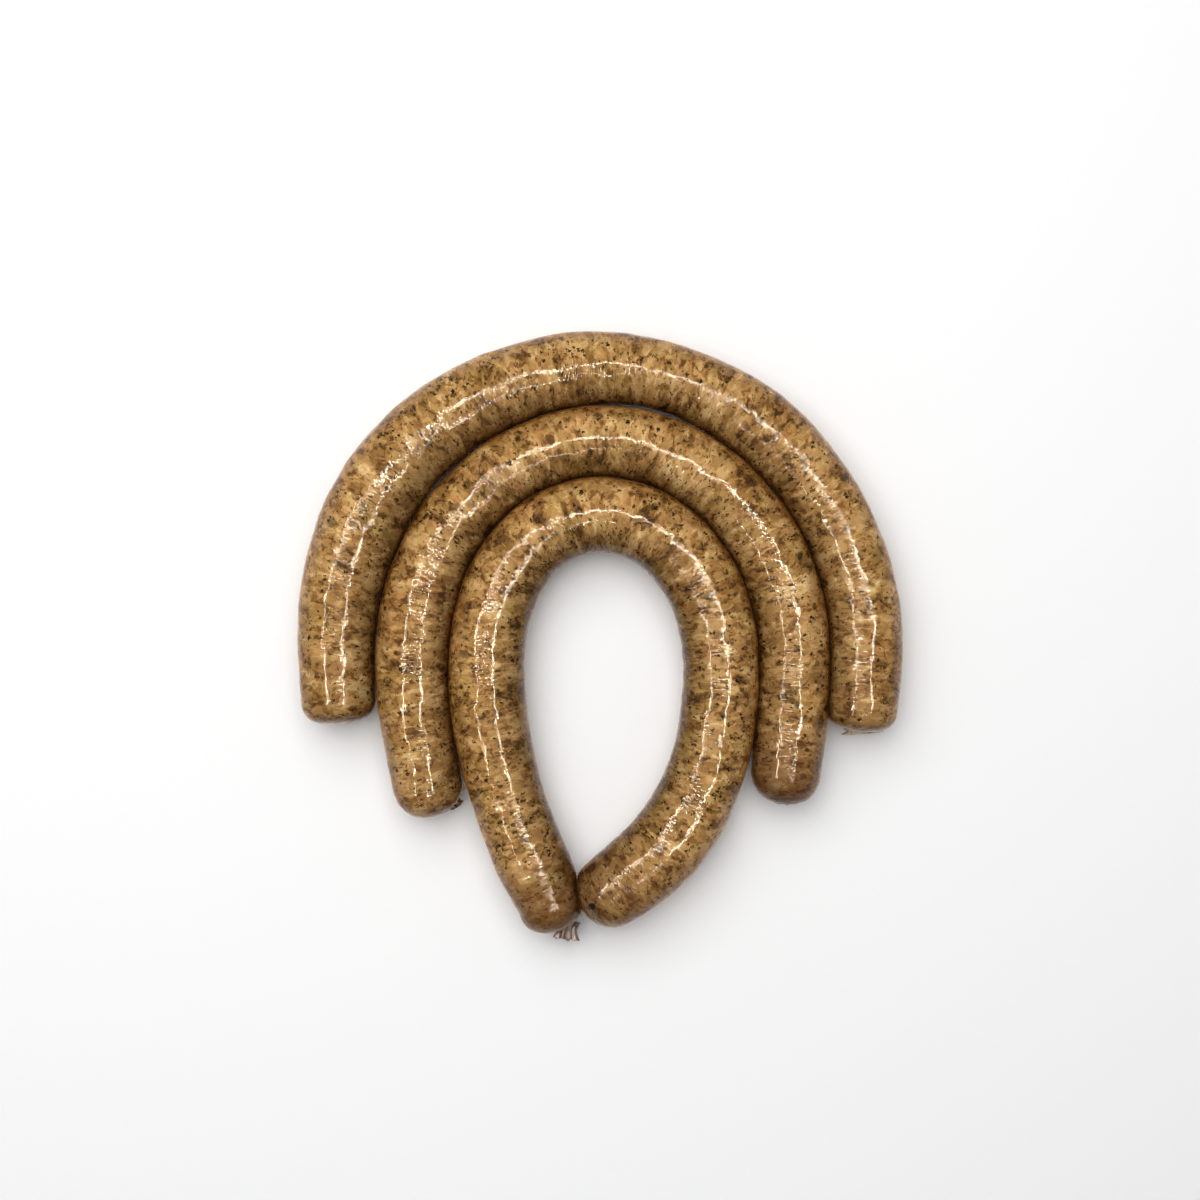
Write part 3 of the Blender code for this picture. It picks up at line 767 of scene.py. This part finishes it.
def tail_tree():
    tree, b, given = new_shape_tree("Gathered tail", TAIL_SOCKETS)
    grid = b.add("GeometryNodeMeshGrid", {
        "Size X": 1.0, "Size Y": math.tau, "Vertices X": TAIL_ROWS + 1, "Vertices Y": TAIL_SIDES + 1,
    })
    place = b.parts(b.add("GeometryNodeInputPosition").outputs[0])
    trip, angle = b.math("ADD", place[0], 0.5), place[1]
    # Out to the cut edge, then back down the inside.
    out = b.ramp(trip, 0.0, OUTWARD_SHARE, kind="LINEAR")
    back = b.ramp(trip, OUTWARD_SHARE, 1.0, kind="LINEAR")
    reach = b.math("MULTIPLY", out, b.math("MULTIPLY_ADD", back, -INSIDE_DEPTH, 1.0))
    round_it = b.xyz(b.math("COSINE", angle), b.math("SINE", angle), given["Seed"])
    uneven_pleats = b.math("MULTIPLY", b.noise(round_it, 1.6, 2.0), 7.0)
    phase = b.math("ADD", b.math("MULTIPLY", angle, given["Pleats"]), uneven_pleats)
    fold = b.math("MULTIPLY_ADD", b.math("COSINE", phase), 0.5, 0.5)
    deep = b.math("MULTIPLY", b.math("MULTIPLY", fold, given["Pleat depth"]), b.ramp(reach, 0.0, 0.45))
    flare = b.math("POWER", reach, 1.25)
    radius = b.blend(flare, given["Neck"], given["Spread"])
    waist = b.math("MULTIPLY_ADD", b.math("SINE", b.math("MULTIPLY", reach, math.pi)), -WAIST, 1.0)
    radius = b.math("MULTIPLY", b.math("MULTIPLY", radius, waist), b.math("SUBTRACT", 1.0, deep))
    inside = b.ramp(trip, OUTWARD_SHARE, OUTWARD_SHARE + EDGE_TURN)
    inside = b.math("MULTIPLY", inside, given["Thickness"])
    closing = b.ramp(trip, 1.0, 0.93, kind="LINEAR")
    radius = b.math("MULTIPLY", b.math("SUBTRACT", radius, inside), closing)
    torn = b.math("SUBTRACT", b.noise(round_it, 3.2, 3.0, 0.7), 0.5)
    torn = b.math("MULTIPLY_ADD", b.math("MULTIPLY", torn, given["Pleat depth"]), 2.2, 1.0)
    height = b.math("MULTIPLY", b.math("MULTIPLY", reach, given["Length"]), b.blend(reach, 1.0, torn))
    wide = b.math("MULTIPLY", radius, b.math("COSINE", angle))
    flat = b.math("MULTIPLY", b.math("MULTIPLY", radius, b.math("SINE", angle)), given["Flatness"])
    kept = {
        "straight": ("FLOAT_VECTOR", b.xyz(angle, reach, given["Seed"])), "fold": ("FLOAT", fold),
    }
    finish_bent_grid(b, grid, kept, b.xyz(wide, flat, height), given["Material"])
    return tree


frill_tree = tail_tree()
print("tail tree", len(frill_tree.nodes), "nodes")

# %% [markdown]
# ## Finish of the tails
# The tails are casing with no meat behind it, dried stiff. Their colour holds painted light and shade: pale
# where a ridge would catch the light and brown down in the folds, where shade would fall. The tree has
# stored how deep in a fold each point is, so the painted shade follows the pleats instead of a texture that
# would have to be fitted to them.


# %% Finish of the tails
FIBRE_HEIGHT = 0.0002


def tail_material(name, shaded_folds, lit_ridges):
    """Thin dried casing, painted paler on the ridges and darker in the folds, as painted light and shade.
    """
    material = bpy.data.materials.new(name)
    material.use_nodes = True
    b = Bench(material.node_tree)
    shader = material.node_tree.nodes["Principled BSDF"]
    place = b.add("ShaderNodeAttribute", attribute_name="straight").outputs["Vector"]
    fold = b.add("ShaderNodeAttribute", attribute_name="fold").outputs["Fac"]
    fibres = b.noise(b.vector("MULTIPLY", place, (5.0, 0.9, 1.0)), 1.6, 3.0, 0.65)
    # Painted light and shade: the tone follows the fibres, and is painted darker down in each fold.
    light = b.ramp(b.math("SUBTRACT", fibres, b.math("MULTIPLY", fold, 0.30)), 0.20, 0.52)
    colour = b.tint(light, shaded_folds, lit_ridges)
    material.node_tree.links.new(colour, shader.inputs["Base Color"])
    rough = b.ramp(fibres, 0.3, 0.7, 0.14, 0.30)
    material.node_tree.links.new(rough, shader.inputs["Roughness"])
    shader.inputs["IOR"].default_value = 1.45
    shader.inputs["Subsurface Weight"].default_value = 0.3
    shader.inputs["Subsurface Radius"].default_value = (1.0, 0.5, 0.25)
    shader.inputs["Subsurface Scale"].default_value = 0.001
    height = b.math("MULTIPLY", fibres, FIBRE_HEIGHT)
    bump = b.add("ShaderNodeBump", {"Strength": 1.0, "Distance": 1.0, "Height": height})
    material.node_tree.links.new(bump.outputs[0], shader.inputs["Normal"])
    return material


# %% [markdown]
# ## Set the tails
# A tail grows from the pole of its dome, so its place comes from the same dome lengths and angles as the
# link's own end. It could be parented and turned by hand, but its place is written into its mesh, so that
# the piece can leave with the frame. Its neck is sunk a millimetre into the dome, which closes it.

# %% Set each tail on its dome
NECK_SUNK = 0.0010
CASING_THICKNESS = 0.00035
TUCKED = (0, 80, 0.0036, 0.0019, 0.0022, 0.8, 9, 0.42)
# For the left and the right end: turn and droop in degrees, length, neck, spread, flatness, pleats and
# how deep they are.
TAILS = {
    "outer_link": (TUCKED, (10, 34, 0.0024, 0.0070, 0.0078, 0.12, 3, 0.06)),
    "middle_link": ((26, 34, 0.0030, 0.0034, 0.0030, 0.4, 6, 0.28), TUCKED),
    "inner_link": ((-30, -4, 0.0060, 0.0044, 0.0050, 0.5, 9, 0.30), TUCKED),
}


def aimed(way, turn, droop):
    """A level way, turned to its left and drooped, both in degrees."""
    turn, droop = math.radians(turn), math.radians(droop)
    level = way * math.cos(turn) + Vector((-way.y, way.x, 0.0)) * math.sin(turn)
    return level * math.cos(droop) - Vector((0.0, 0.0, math.sin(droop)))


def tail_place(name, which):
    """A matrix that sets a tail grown along +Z on the pole of its dome."""
    centres, radii = lines[name]
    ends = ENDS[name]
    dome, power = ends["Dome lengths"][which], ends["Bluntness"][which]
    base = round(dome / CENTRE_STEP)
    spot, inward = (-base, -base - 3) if which else (base, base + 3)
    way = Vector(centres[spot] - centres[inward])
    way.z = 0.0
    way.normalize()
    pole = aimed(way, ends["Turns"][which], ends["Droops"][which])
    ahead = pole.dot(way)
    across = pole - ahead * way
    swell = (ahead**power + across.length**power) ** (-1 / power)
    tip = Vector(centres[spot]) + swell * (ahead * dome * way + float(radii[spot]) * across)
    down = aimed(way, *TAILS[name][which][:2])
    wide = Vector(UP).cross(down).normalized()
    place = Matrix((wide, down.cross(wide), down)).transposed().to_4x4()
    place.translation = tip - NECK_SUNK * pole
    return place


def build_tail(name, which, material):
    _, _, length, neck, spread, flatness, pleats, depth = TAILS[name][which]
    values = {
        "Material": material, "Length": length, "Neck": neck, "Spread": spread, "Flatness": flatness,
        "Pleats": float(pleats), "Pleat depth": depth, "Thickness": CASING_THICKNESS,
        "Seed": 3.0 * which + len(name),
    }
    label = f"{name}_{('left', 'right')[which]}_tail"
    mesh = grown(label, bpy.data.meshes.new(label + "_start"), frill_tree, values)
    mesh.transform(tail_place(name, which))
    for vertex in mesh.vertices:
        vertex.co.z = max(vertex.co.z, 0.0)
    piece = bpy.data.objects.new(label, mesh)
    bpy.context.scene.collection.objects.link(piece)
    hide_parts(name)
    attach(piece, "root")
    return piece


gathered = tail_material("gathered_casing", srgb(42, 26, 17), srgb(136, 98, 70))
thin = tail_material("thin_casing", srgb(132, 106, 80), srgb(206, 186, 160))
tails = [
    build_tail(name, which, thin if (name, which) == ("outer_link", 1) else gathered)
    for name in ROUTES for which in (0, 1)
]
print([tail.name for tail in tails])

# %% [markdown]
# ## Floor, light and camera
# The links lie under a wide lamp with bright edges, which is what draws two thin lines along every crest
# with a dimmer band between them. Four strips make the edges and a dim panel fills the middle. The floor
# is plain and pale, and the camera looks straight down.

# %% Floor
FLOOR_SIZE = 3.0
FLOOR_TONE = 0.945
PHOTO_CENTRE = (0.0001, 0.0135)
VIEW_WIDTH = 0.420
VIEW_PLANE = 0.013
CAMERA_DISTANCE = 0.600


def pale_floor():
    mesh = bpy.data.meshes.new("floor")
    half = FLOOR_SIZE / 2
    corners = [(-half, -half, 0), (half, -half, 0), (half, half, 0), (-half, half, 0)]
    mesh.from_pydata(corners, [], [(0, 1, 2, 3)])
    floor = bpy.data.objects.new("floor", mesh)
    bpy.context.scene.collection.objects.link(floor)
    material = bpy.data.materials.new("pale_floor")
    material.use_nodes = True
    shader = material.node_tree.nodes["Principled BSDF"]
    shader.inputs["Base Color"].default_value = (FLOOR_TONE, FLOOR_TONE, FLOOR_TONE, 1.0)
    shader.inputs["Roughness"].default_value = 0.5
    shader.inputs["Specular IOR Level"].default_value = 0.0
    mesh.materials.append(material)


pale_floor()

# %% Lights
LAMP_HEIGHT = 0.90
LAMP_LEFT, LAMP_RIGHT = -0.56, 0.36
LAMP_BOTTOM, LAMP_TOP = -0.40, 0.17
STRIP_WIDTH = 0.021
# The lower edge shows on the right of the links only, and thinner.
LOWER_MIDDLE, LOWER_LENGTH, LOWER_WIDTH = 0.14, 0.4, 0.008
STRIP_RADIANCE = 180.0
PANEL_RADIANCE = 0.5
KEY_PLACE = (-0.20, 0.36, 0.95)
KEY_SIZE = 1.2
KEY_RADIANCE = 2.7
SKY = 0.32


def lamp(name, place, size, radiance):
    """A rectangular lamp that faces down, with its radiance."""
    light = bpy.data.lights.new(name, "AREA")
    light.shape = "RECTANGLE"
    light.size, light.size_y = size
    light.energy = radiance * size[0] * size[1] * math.pi
    obj = bpy.data.objects.new(name, light)
    obj.location = place
    bpy.context.scene.collection.objects.link(obj)
    return obj


wide, tall = LAMP_RIGHT - LAMP_LEFT, LAMP_TOP - LAMP_BOTTOM
mid_x, mid_y = (LAMP_LEFT + LAMP_RIGHT) / 2, (LAMP_BOTTOM + LAMP_TOP) / 2
edges = {
    "edge_left": ((LAMP_LEFT, mid_y), (STRIP_WIDTH, tall)),
    "edge_right": ((LAMP_RIGHT, mid_y), (STRIP_WIDTH, tall)),
    "edge_top": ((mid_x, LAMP_TOP), (wide, STRIP_WIDTH)),
    "edge_bottom": ((LOWER_MIDDLE, LAMP_BOTTOM), (LOWER_LENGTH, LOWER_WIDTH)),
}
# The lamp's frame only makes highlights, and the key lamp only lights, so each can be set by itself.
for name, (place, size) in edges.items():
    edge = lamp(name, (*place, LAMP_HEIGHT), size, STRIP_RADIANCE)
    edge.visible_diffuse = False
lamp("panel", (mid_x, mid_y, LAMP_HEIGHT + 0.01), (wide, tall), PANEL_RADIANCE).visible_diffuse = False
key = lamp("key", KEY_PLACE, (KEY_SIZE, KEY_SIZE), KEY_RADIANCE)
key.rotation_euler = Vector(KEY_PLACE).to_track_quat("Z", "Y").to_euler()
key.visible_glossy = False

world = bpy.data.worlds.new("soft_room")
world.use_nodes = True
world.node_tree.nodes["Background"].inputs["Color"].default_value = (1.0, 1.0, 1.0, 1.0)
world.node_tree.nodes["Background"].inputs["Strength"].default_value = SKY
bpy.context.scene.world = world
bpy.context.scene.view_settings.view_transform = "Standard"

# %% Camera
camera = bpy.data.cameras.new("camera")
camera.sensor_width = 36.0
camera.lens = camera.sensor_width * CAMERA_DISTANCE / VIEW_WIDTH
eye = bpy.data.objects.new("camera", camera)
eye.location = (*PHOTO_CENTRE, VIEW_PLANE + CAMERA_DISTANCE)
bpy.context.scene.collection.objects.link(eye)
bpy.context.scene.camera = eye
print("lens", round(camera.lens, 1), "mm")
